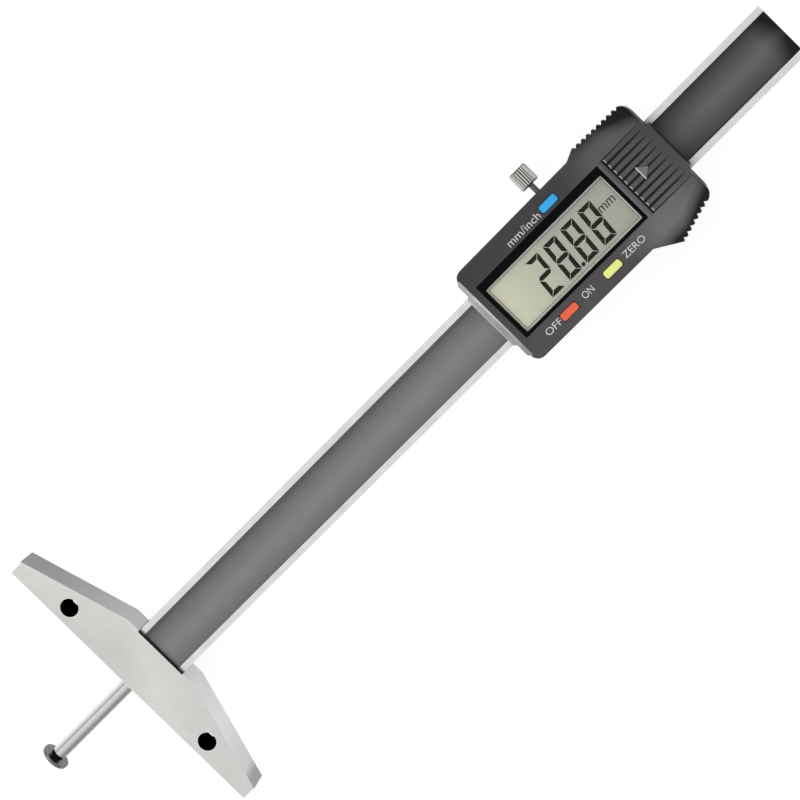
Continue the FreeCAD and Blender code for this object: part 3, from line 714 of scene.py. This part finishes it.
# ---------------------------------------------------------------- rod and disc
def on_rod_axis(name, radius, start, end, vertices):
    """A round bar on the rod's axis, from one X to another."""
    low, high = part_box("depth_rod")
    centre = ((start + end) / 2, 0, (low.z + high.z) / 2)
    return round_bar(name, centre, radius, end - start, ALONG_X, vertices)


def make_rod():
    """The rod, rounded at its ends."""
    low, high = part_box("depth_rod")
    piece = on_rod_axis("depth_rod_polished", (high.z - low.z) / 2, low.x, high.x, 64)
    soften(piece, 0.15 * MM)
    wear(piece, rod_painted_reflections)
    stand_for(piece, "depth_rod")


def make_disc():
    """The disc, rounded at its rim, with the relief neck that leads to the rod, painted black as shade."""
    low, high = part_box("rod_disc")
    thick = 1.0 * MM
    neck = 1.75 * MM
    border = 0.7 * MM           # round the shallow step in the measuring side
    step_width = 0.15 * MM
    step_depth = 0.06 * MM
    behind = low.x + thick
    axis_z = (low.z + high.z) / 2
    radius = (high.z - low.z) / 2
    neck_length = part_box("depth_rod")[0].x - behind
    piece = on_rod_axis("rod_disc_turned", radius, low.x, behind, 72)
    edit(piece)
    choose_faces(piece, lambda centre, normal: normal.x > 0.9)
    bpy.ops.mesh.inset(thickness=radius - neck)
    bpy.ops.mesh.extrude_region_move(TRANSFORM_OT_translate={"value": (neck_length, 0, 0)})
    choose_faces(piece, lambda centre, normal: normal.x < -0.9)
    bpy.ops.mesh.inset(thickness=border)
    bpy.ops.mesh.inset(thickness=step_width, depth=-step_depth)
    deselect_everything()
    soften(piece, 0.18 * MM, 3)
    wear(piece, disc_turned, neck_painted_shade)

    def on_neck(centre, normal):
        from_axis = math.hypot(centre.y, centre.z - axis_z)
        return centre.x > behind - NEAR / 2 and from_axis < neck + NEAR

    # painted shade: the neck and its root are painted black
    paint(piece, 1, on_neck)
    stand_for(piece, "rod_disc")


make_rod()
make_disc()
finished_node("rod_screws", 0.1 * MM, screw_plain)


# ---------------------------------------------------------------- slider frame and lock screw
def finish_frame():
    """Satin frame, with painted light on its sloped nose."""
    piece = own_copy("slider_frame")
    soften(piece, 0.25 * MM, 3)
    wear(piece, frame_satin, nose_satin_painted_light)
    nose_reach = 3 * MM
    nose_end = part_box("slider_frame")[0].x + nose_reach
    # the sloped nose gets the paler copy with its painted light and shade
    paint(piece, 1, lambda centre, normal: centre.x < nose_end and normal.x < -0.3 and normal.z > 0.3)
    stand_for(piece, "slider_frame")


finish_frame()
finished_node("gib_strip", 0.08 * MM, brass)
finished_node("gib_screws", 0.08 * MM, screw_plain)
finished_node("case_screws", 0.12 * MM, screw_plain)


def make_lock_screw():
    """A straight-knurled head with chamfered rims on a plain stem."""
    low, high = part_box("lock_screw")
    centre_x = (low.x + high.x) / 2
    centre_z = (low.z + high.z) / 2
    outer = (high.x - low.x) / 2
    head_length = 5.1 * MM
    stem_radius = 0.75 * MM
    teeth = 22
    rim = 0.4 * MM
    rim_narrowing = 0.87        # of the head's end faces
    at_end = 0.01 * MM          # reach of the test for those faces
    head_start = high.y - head_length
    head_middle = (centre_x, high.y - head_length / 2, centre_z)
    piece = round_bar("lock_screw_knurled", head_middle, outer, head_length, ALONG_Y, teeth * 3)
    edit(piece)
    third = 2 * math.pi / (teeth * 3)

    def in_groove(co):
        turn = math.atan2(co.z - centre_z, co.x - centre_x) % (2 * math.pi)
        return round(turn / third) % 3 == 0

    choose_verts(piece, in_groove)
    narrow = (outer - KNURL_DEPTH) / outer
    bpy.ops.transform.resize(value=(narrow, 1, narrow))
    for y in (head_start + rim, high.y - rim):
        cut("y", y)
    choose_verts(piece, lambda co: co.y < head_start + at_end or co.y > high.y - at_end)
    bpy.ops.transform.resize(value=(rim_narrowing, 1, rim_narrowing))
    deselect_everything()
    soften(piece, 0.03 * MM, 1, angle=math.radians(50))
    stem_end = head_start + rim
    stem_middle = (centre_x, (stem_end + low.y) / 2, centre_z)
    stem = round_bar("lock_screw_stem", stem_middle, stem_radius, stem_end - low.y, ALONG_Y, 32)
    soften(stem, 0.2 * MM, 3)
    wear(stem, stem_steel)
    wear(piece, knob_nickel)
    stand_for(joined([piece, stem], "lock_screw_knurled"), "lock_screw")


make_lock_screw()


# ---------------------------------------------------------------- housing
def finish_cover():
    """Grey moulding, with painted shade on its sides round the grips."""
    piece = own_copy("housing_cover")
    soften(piece, 0.2 * MM)
    wear(piece, cover_grey, cover_side_painted_shade)
    grips_start = 180 * MM
    # painted shade on the walls round the grips
    paint(piece, 1, lambda centre, normal: centre.x > grips_start and abs(normal.z) < 0.3)
    stand_for(piece, "housing_cover")


finish_cover()
finished_node("lcd_bezel", 0.15 * MM, bezel_black)


LID_RAIL_WIDTH = 0.5 * MM
LID_RAIL_THICK = 0.6 * MM
LID_TAB = 0.9 * MM
LID_SNUG = 0.09 * MM           # taken from the gap round the lid
LID_SUNK = 0.03 * MM           # how far the lid's front lies below the cover's
LID_TAB_HALF = 7.0 * MM
RIB_COUNT = 10
RIB_PITCH = 1.8 * MM
RIB_WIDTH = 1.46 * MM
RIB_DEPTH = 0.4 * MM
RIB_LOW_INSET = 0.8 * MM
RIB_HIGH_INSET = 1.1 * MM
RIB_END_SLOPE = 0.4 * MM
RIB_END_NARROWING = 0.55       # width of the rib's front at its lower end, as a share
GROOVE_STEP = 0.3 * MM         # length of each groove's steep lower end
GROOVE_RUN_OUT = 3.0 * MM      # length over which each groove grows shallow at its upper end
MARK_LENGTH = 2.7 * MM
MARK_HALF_WIDTH = 2.2 * MM
MARK_FROM_TOP = 8.55 * MM

cover_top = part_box("housing_cover")[1].z
lid_low, lid_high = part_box("battery_lid")
lid_end = lid_high.x - LID_TAB
ribs_end = lid_end - RIB_HIGH_INSET
groove_floor = cover_top - RIB_DEPTH
groove_start = lid_low.x + RIB_LOW_INSET - GROOVE_STEP


def lid_plate():
    """The lid without its ribs: its front is sunk where the grooves are, and rises at their upper ends."""
    half = lid_high.y - LID_RAIL_WIDTH + LID_SNUG
    rail_top = lid_low.z + LID_RAIL_THICK
    rail_reach = LID_RAIL_WIDTH - LID_SNUG
    front = cover_top - LID_SUNK
    start = lid_low.x - LID_SNUG
    piece = bar_between("lid_plate", start, lid_end, -half, half, lid_low.z, front)
    edit(piece)
    cut("z", rail_top)
    for x in (groove_start, groove_start + GROOVE_STEP, ribs_end - GROOVE_RUN_OUT, ribs_end):
        cut("x", x)
    for side in (-1, 1):
        cut("y", side * LID_TAB_HALF)
    for side in (-1, 1):
        choose_faces(piece, lambda centre, normal: normal.y * side > 0.9 and centre.z < rail_top)
        bpy.ops.mesh.extrude_region_move(TRANSFORM_OT_translate={"value": (0, side * rail_reach, 0)})
    choose_faces(piece, lambda centre, normal: normal.x > 0.9 and abs(centre.y) < LID_TAB_HALF)
    bpy.ops.mesh.extrude_region_move(TRANSFORM_OT_translate={"value": (LID_TAB, 0, 0)})

    def in_grooves(co):
        return groove_start + NEAR < co.x < ribs_end - NEAR and co.z > front - NEAR

    choose_verts(piece, in_grooves)
    bpy.ops.transform.translate(value=(0, 0, groove_floor - front))
    deselect_everything()
    soften(piece, 0.08 * MM)
    wear(piece, lid_grey, lid_groove_painted_shade)
    # painted shade on the groove floors
    paint(piece, 1, lambda centre, normal: groove_start < centre.x < ribs_end and normal.z > 0.5)
    return piece


def lid_rib():
    """One rib in the middle of the lid, sloped, with a painted highlight on its lower end."""
    start = lid_low.x + RIB_LOW_INSET
    half = RIB_WIDTH / 2
    piece = bar_between("lid_rib", start, ribs_end, -half, half, groove_floor - OVERLAP, cover_top)
    edit(piece)
    choose_verts(piece, lambda co: co.x < start + NEAR and co.z > cover_top - NEAR)
    bpy.ops.transform.translate(value=(RIB_END_SLOPE, 0, 0))
    bpy.ops.transform.resize(value=(1, RIB_END_NARROWING, 1))
    deselect_everything()
    soften(piece, 0.16 * MM, 3)
    wear(piece, lid_grey, lid_rib_end_highlight)
    # painted highlight on the sloped lower end
    paint(piece, 1, lambda centre, normal: normal.x < -0.15 and normal.z > 0.65)
    return piece


def lid_mark():
    """The raised arrow that shows which way the lid slides, with a painted highlight on its base and painted
    shade on its sides.
    """
    base_x = lid_end - MARK_FROM_TOP
    floor = groove_floor - OVERLAP
    deselect_everything()
    bpy.ops.mesh.primitive_cylinder_add(vertices=3, radius=1, depth=1, rotation=(0, 0, -math.pi / 2))
    piece = bpy.context.object
    half_base = math.sin(math.pi / 3)
    piece.scale = (MARK_HALF_WIDTH / half_base, MARK_LENGTH / 1.5, lid_high.z - floor)
    piece.location = (base_x + MARK_LENGTH / 3, 0, (lid_high.z + floor) / 2)
    settle(piece, "lid_mark")
    soften(piece, 0.26 * MM)
    wear(piece, mark_grey, mark_edge_highlight, lid_groove_painted_shade)
    # painted shade on the sides, painted highlight on the base
    paint(piece, 2, lambda centre, normal: normal.z < 0.8)
    paint(piece, 1, lambda centre, normal: normal.x < -0.3)
    return piece


def make_battery_lid():
    """The plate, the arrow and the ribs, which are copies of one."""
    rib = lid_rib()
    parts = [lid_plate(), lid_mark()]
    for step in range(RIB_COUNT):
        y = (step - (RIB_COUNT - 1) / 2) * RIB_PITCH
        parts.append(placed_copy(rib, Matrix.Translation((0, y, 0))))
    bpy.data.objects.remove(rib)
    stand_for(joined(parts, "battery_lid_ribbed"), "battery_lid")


make_battery_lid()


FLANGE_WIDTH = 0.6 * MM
FLANGE_THICK = 0.6 * MM
COVER_SKIN = 1.45 * MM          # front wall and the gap behind it
BUTTON_STEM = 1.0 * MM
CAP_CORNER = 0.55 * MM


def make_button(node, material):
    """A cap with round corners on its flange and stem."""
    low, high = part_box(node)
    x0 = low.x + FLANGE_WIDTH
    x1 = high.x - FLANGE_WIDTH
    y0 = low.y + FLANGE_WIDTH
    y1 = high.y - FLANGE_WIDTH
    flange_top = cover_top - COVER_SKIN
    flange_low = flange_top - FLANGE_THICK
    cap = bar_between(node + "_cap", x0, x1, y0, y1, flange_top - OVERLAP, high.z)
    edit(cap)
    bpy.ops.mesh.select_mode(type="EDGE")
    bpy.ops.mesh.select_all(action="DESELECT")
    mesh = bmesh.from_edit_mesh(cap.data)
    for edge in mesh.edges:
        edge.select_set(abs(edge.verts[0].co.z - edge.verts[1].co.z) > NEAR)
    bmesh.update_edit_mesh(cap.data)
    bpy.ops.mesh.bevel(offset=CAP_CORNER, segments=5)
    deselect_everything()
    soften(cap, 0.24 * MM, 3)
    flange = bar_between(node + "_flange", low.x, high.x, low.y, high.y, flange_low, flange_top)
    soften(flange, 0.1 * MM)
    stem_end = flange_low + OVERLAP
    stem_middle = ((x0 + x1) / 2, (y0 + y1) / 2, (stem_end + low.z) / 2)
    stem = round_bar(node + "_stem", stem_middle, BUTTON_STEM, stem_end - low.z, ALONG_Z, 32)
    soften(stem, 0.15 * MM)
    piece = joined([cap, flange, stem], node + "_finished")
    wear(piece, material)
    stand_for(piece, node)


make_button("mm_inch_button", button_blue)
make_button("zero_button", button_yellow)
make_button("off_on_button", button_red)


# ---------------------------------------------------------------- display
wear(nodes["lcd_glass"], display_glass)
wear(nodes["lcd_window"], window_clear)

INK_GAP = 0.005 * MM            # between the glass and the ink
ink_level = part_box("lcd_glass")[1].z + INK_GAP
DIGIT_WIDTH = 4.2 * MM
DIGIT_HEIGHT = 10.5 * MM
DIGIT_PITCH = 5.92 * MM
DIGIT_START = (155.2 * MM, -6.3 * MM)
STROKE = 1.15 * MM
STROKE_GAP = 0.22 * MM
POINT_RADIUS = 0.45 * STROKE
POINT_AFTER = 2                 # digits before the decimal point
SLANT = math.tan(math.radians(5.3))
READING = "2888"
SEGMENTS = {"2": ("top", "upper_right", "middle", "lower_left", "bottom"),
            "8": ("top", "upper_left", "upper_right", "middle", "lower_left", "lower_right", "bottom")}


def display_bar(name, length, pointed):
    """One bar of a digit, along X about the origin: its outer side is +Y, or it is pointed at both ends."""
    deselect_everything()
    bpy.ops.mesh.primitive_cube_add(size=1, location=(0, 0, 0))
    piece = bpy.context.object
    piece.scale = (length, STROKE, HAIR)
    settle(piece, name)
    edit(piece)
    if pointed:
        cut("y", 0)
        choose_verts(piece, lambda co: abs(co.y) > STROKE / 4)
        bpy.ops.transform.resize(value=((length - STROKE) / length, 1, 1))
    else:
        choose_verts(piece, lambda co: co.y < 0)
        bpy.ops.transform.resize(value=((length - 2 * STROKE) / length, 1, 1))
    deselect_everything()
    return piece


def make_digits():
    """The reading with its decimal point, made of bars and leaning a little."""
    half = DIGIT_HEIGHT / 2
    across = display_bar("bar_across", DIGIT_WIDTH - STROKE_GAP, False)
    upright = display_bar("bar_upright", half - STROKE_GAP, False)
    middle = display_bar("bar_middle", DIGIT_WIDTH - STROKE_GAP, True)
    left = STROKE / 2
    right = DIGIT_WIDTH - left
    bottom = STROKE / 2
    upper = half * 1.5
    lower = half * 0.5
    places = {
        "top": (across, 0, DIGIT_WIDTH / 2, DIGIT_HEIGHT - bottom),
        "bottom": (across, math.pi, DIGIT_WIDTH / 2, bottom),
        "middle": (middle, 0, DIGIT_WIDTH / 2, half),
        "upper_left": (upright, math.pi / 2, left, upper),
        "lower_left": (upright, math.pi / 2, left, lower),
        "upper_right": (upright, -math.pi / 2, right, upper),
        "lower_right": (upright, -math.pi / 2, right, lower),
    }
    bars = []
    for index, digit in enumerate(READING):
        for segment in SEGMENTS[digit]:
            model, turn, x, y = places[segment]
            place = Matrix.Translation((x + index * DIGIT_PITCH, y, 0)) @ Matrix.Rotation(turn, 4, "Z")
            bars.append(placed_copy(model, place))
    point_x = POINT_AFTER * DIGIT_PITCH - (DIGIT_PITCH - DIGIT_WIDTH) / 2
    bars.append(round_bar("decimal_point", (point_x, STROKE / 2, 0), POINT_RADIUS, HAIR, ALONG_Z, 24))
    for model in (across, upright, middle):
        bpy.data.objects.remove(model)
    piece = joined(bars, "display_digits")
    lean = Matrix.Identity(4)
    lean[0][1] = SLANT
    piece.data.transform(lean)
    piece.data.transform(Matrix.Translation((*DIGIT_START, ink_level + HAIR / 2)))
    settle(piece, "display_digits")
    wear(piece, ink_dark)
    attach(piece, "slider")


CAPITAL = 0.729                 # a capital's height, as a share of the built-in font's size
THINNING = 0.01 * MM            # how far the letters' outlines are drawn in


def make_lettering(name, words, height, start, z, material, lean):
    """Flat sans lettering: start is the lower left of its baseline, height that of a capital."""
    deselect_everything()
    bpy.ops.object.text_add(location=(0, 0, 0))
    piece = bpy.context.object
    piece.data.body = words
    piece.data.size = height / CAPITAL
    piece.data.shear = lean
    piece.data.extrude = HAIR / 2
    piece.data.offset = -THINNING
    piece.data.resolution_u = 6
    bpy.ops.object.convert(target="MESH")
    piece = bpy.context.object
    piece.location = (*start, z + HAIR / 2)
    settle(piece, name)
    edit(piece)
    bpy.ops.mesh.select_all(action="SELECT")
    bpy.ops.mesh.remove_doubles(threshold=WELD)
    bpy.ops.mesh.normals_make_consistent(inside=False)
    deselect_everything()
    wear(piece, material)
    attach(piece, "slider")
    return piece


def stretch_to(piece, x0, x1):
    """Widens or narrows the lettering to run from one X to the other."""
    xs = [vert.co.x for vert in piece.data.vertices]
    factor = (x1 - x0) / (max(xs) - min(xs))
    piece.data.transform(Matrix.Translation((-min(xs), 0, 0)))
    piece.data.transform(Matrix.Scale(factor, 4, (1, 0, 0)))
    piece.data.transform(Matrix.Translation((x0, 0, 0)))


def make_display_frame(name, inset, line, material):
    """A thin printed line round the display, a little inside the window's edge."""
    low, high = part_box("lcd_window")
    middle = ((low.x + high.x) / 2, (low.y + high.y) / 2, ink_level)
    deselect_everything()
    bpy.ops.mesh.primitive_plane_add(size=1, location=middle)
    piece = bpy.context.object
    piece.scale = (high.x - low.x - 2 * inset, high.y - low.y - 2 * inset, 1)
    settle(piece, name)
    edit(piece)
    bpy.ops.mesh.select_all(action="SELECT")
    bpy.ops.mesh.inset(thickness=line)
    bpy.ops.mesh.delete(type="FACE")
    bpy.ops.mesh.select_all(action="SELECT")
    bpy.ops.mesh.extrude_region_move(TRANSFORM_OT_translate={"value": (0, 0, HAIR)})
    bpy.ops.mesh.select_all(action="SELECT")
    bpy.ops.mesh.normals_make_consistent(inside=False)
    deselect_everything()
    wear(piece, material)
    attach(piece, "slider")


make_digits()
make_display_frame("display_edge", 0.0, 0.42 * MM, edge_pale)
make_display_frame("display_border", 0.45 * MM, 0.12 * MM, ink_pale)

# name, words, X of the lettering's two ends, Y of its baseline, height of a capital, level, material, lean
LETTERING = (
    ("label_mm_inch", "mm/inch", 156.9, 167.4, 9.5, 2.05, cover_top, paint_white, 0.0),
    ("label_zero", "ZERO", 174.6, 181.3, -12.05, 1.85, cover_top, paint_white, 0.0),
    ("label_off", "OFF", 148.0, 152.9, -12.3, 1.9, cover_top, paint_white, 0.0),
    ("label_on", "ON", 160.7, 164.0, -12.1, 1.9, cover_top, paint_white, 0.0),
    ("display_unit", "mm", 178.0, 182.8, -0.35, 2.7, ink_level, ink_dark, 0.12),
)
for name, words, start, end, baseline, height, level, material, lean in LETTERING:
    label = make_lettering(name, words, height * MM, (start * MM, baseline * MM), level, material, lean)
    stretch_to(label, start * MM, end * MM)


# ---------------------------------------------------------------- inside the housing
for node, material in (
    ("zebra_strips", zebra_pink),
    ("circuit_board", board_green),
    ("chip_blob", epoxy_black),
    ("quartz_crystal", can_bright),
    ("key_switches", switch_black),
    ("button_cell", cell_bright),
    ("cell_contact_negative", bronze),
    ("cell_contact_positive", bronze),
):
    wear(nodes[node], material)


# ---------------------------------------------------------------- stage, light and camera
FLOOR_SIZE = 6
FLOOR_GAP = 0.02 * MM           # between the object and the floor
FLOOR_BOUNCE = 0.6              # how pale the floor is to light that bounces off it
FLOOR_SHADED = 0.25             # how pale it is to the camera in its lit part, which carries the shadow
FLOOR_GLOW = 0.84               # and the even glow that is added to it
SKY_LEVELS = ((0.0, 0.72), (0.35, 0.55), (0.7, 0.82), (1.0, 0.98))
SKY_STRENGTH = 1.05
SKY_LEAN = (-0.2, 0.12, 0.0)    # the world is brighter this way
SOFTBOX_PLACE = Vector((-0.35, 0.7, 0.75))
SOFTBOX_TARGET = Vector((0.1, 0, 0))
SOFTBOX_SIZE = 1.0
SOFTBOX_WATTS = 1.8
CAMERA_PLACE = Vector((0.23640, 0.01695, 0.49027))
CAMERA_FORWARD = Vector((-0.25473, -0.02918, -0.96657))
CAMERA_UP = Vector((0.68496, 0.70012, -0.20165))
CAMERA_LENS_MM = 90
CAMERA_SENSOR_MM = 36
CAMERA_NEAREST = 0.01           # nothing nearer is drawn


def make_floor():
    """A plain white floor: white to the camera and to reflections, and it keeps the object's soft shadow."""
    deselect_everything()
    bpy.ops.mesh.primitive_plane_add(size=FLOOR_SIZE, location=(cad_high.x / 2, 0, cad_low.z - FLOOR_GAP))
    floor = settle(bpy.context.object, "floor")
    material = bpy.data.materials.new("floor_white")
    material.use_nodes = True
    material.node_tree.nodes.clear()
    ray = node_of(material, "LightPath").outputs
    seen = reckon(material, "MAXIMUM", ray["Is Camera Ray"], ray["Is Glossy Ray"])
    seen_all = reckon(material, "MAXIMUM", seen, ray["Is Transmission Ray"])
    plain = node_of(material, "BsdfDiffuse")
    plain.inputs["Color"].default_value = (*grey(FLOOR_BOUNCE), 1)
    faint = node_of(material, "BsdfDiffuse")
    faint.inputs["Color"].default_value = (*grey(FLOOR_SHADED), 1)
    glow = node_of(material, "Emission")
    glow.inputs["Strength"].default_value = FLOOR_GLOW
    both = node_of(material, "AddShader")
    mix = node_of(material, "MixShader")
    out = node_of(material, "OutputMaterial")
    wire(material, seen_all, mix.inputs["Fac"])
    wire(material, glow.outputs[0], both.inputs[0])
    wire(material, faint.outputs[0], both.inputs[1])
    wire(material, plain.outputs[0], mix.inputs[1])
    wire(material, both.outputs[0], mix.inputs[2])
    wire(material, mix.outputs[0], out.inputs["Surface"])
    wear(floor, material)


def make_world():
    """Pale all round: bright overhead and along the horizon, and a little darker between."""
    world = bpy.data.worlds.new("studio")
    bpy.context.scene.world = world
    world.use_nodes = True
    world.node_tree.nodes.clear()
    way = node_of(world, "TexCoord")
    split = node_of(world, "SeparateXYZ")
    lean = node_of(world, "VectorMath", operation="DOT_PRODUCT")
    lean.inputs[1].default_value = SKY_LEAN
    light = node_of(world, "Background")
    out = node_of(world, "OutputWorld")
    wire(world, way.outputs["Generated"], split.inputs[0])
    wire(world, way.outputs["Generated"], lean.inputs[0])
    wire(world, greys(world, split.outputs["Z"], *SKY_LEVELS), light.inputs["Color"])
    wire(world, reckon(world, "ADD", lean.outputs["Value"], SKY_STRENGTH), light.inputs["Strength"])
    wire(world, light.outputs[0], out.inputs["Surface"])


def make_softbox():
    lamp = bpy.data.lights.new("softbox", "AREA")
    lamp.shape = "DISK"
    lamp.size = SOFTBOX_SIZE
    lamp.energy = SOFTBOX_WATTS
    holder = bpy.data.objects.new("softbox", lamp)
    bpy.context.scene.collection.objects.link(holder)
    holder.location = SOFTBOX_PLACE
    holder.rotation_euler = (SOFTBOX_TARGET - SOFTBOX_PLACE).to_track_quat("-Z", "Y").to_euler()


def make_camera():
    lens = bpy.data.cameras.new("camera")
    lens.lens = CAMERA_LENS_MM
    lens.sensor_width = CAMERA_SENSOR_MM
    lens.clip_start = CAMERA_NEAREST
    camera = bpy.data.objects.new("camera", lens)
    bpy.context.scene.collection.objects.link(camera)
    right = CAMERA_FORWARD.cross(CAMERA_UP).normalized()
    up = right.cross(CAMERA_FORWARD).normalized()
    turn = Matrix((right, up, -CAMERA_FORWARD.normalized())).transposed()
    camera.matrix_world = Matrix.Translation(CAMERA_PLACE) @ turn.to_4x4()
    bpy.context.scene.camera = camera


make_floor()
make_world()
make_softbox()
make_camera()
bpy.context.scene.view_settings.view_transform = "Standard"
